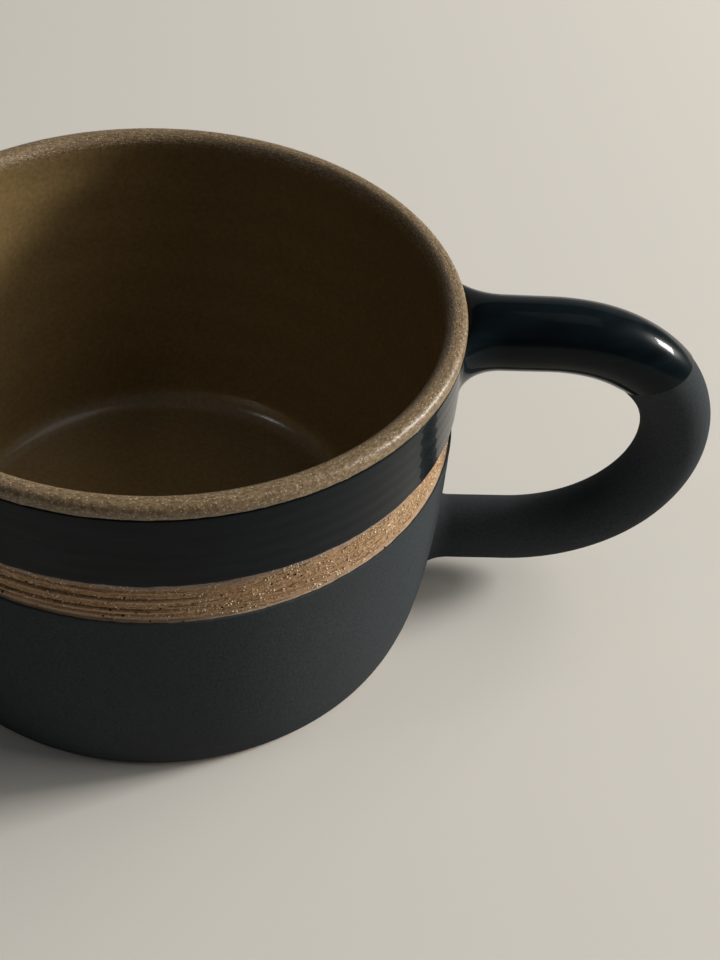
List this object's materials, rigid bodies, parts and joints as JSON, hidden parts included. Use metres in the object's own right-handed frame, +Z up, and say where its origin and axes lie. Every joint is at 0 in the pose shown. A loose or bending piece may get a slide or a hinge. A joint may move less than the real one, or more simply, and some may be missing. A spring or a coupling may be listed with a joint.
{
  "type": "stoneware mug",
  "caption": "Low wide handmade stoneware mug with a round loop handle, gloss dark collar, bare tooled clay band, matte dark lower body and olive-brown glazed inside.",
  "frame": {"origin": "centre of the flat foot, on the cup's own axis, where the mug stands on a table", "axes": "+Z up along the cup's axis, +X from the axis out through the middle of the handle"},
  "size_m": [0.1408, 0.096, 0.061],
  "materials": {
    "bare_stoneware": "raw, sandy, fired unglazed",
    "joining_slip": "raw, hidden in the joint",
    "liner_glaze": "satin olive-brown glaze with fine specks",
    "gloss_glaze": "gloss blue-black glaze",
    "matte_slip": "matte charcoal slip"
  },
  "bodies": {
    "root": {"cup_body": "bare_stoneware", "handle_loop": "bare_stoneware", "upper_joint_slip": "joining_slip", "lower_joint_slip": "joining_slip", "liner_glaze": "liner_glaze", "collar_glaze": "gloss_glaze", "handle_glaze": "gloss_glaze", "body_slip": "matte_slip", "handle_slip": "matte_slip"}
  },
  "joints": []
}
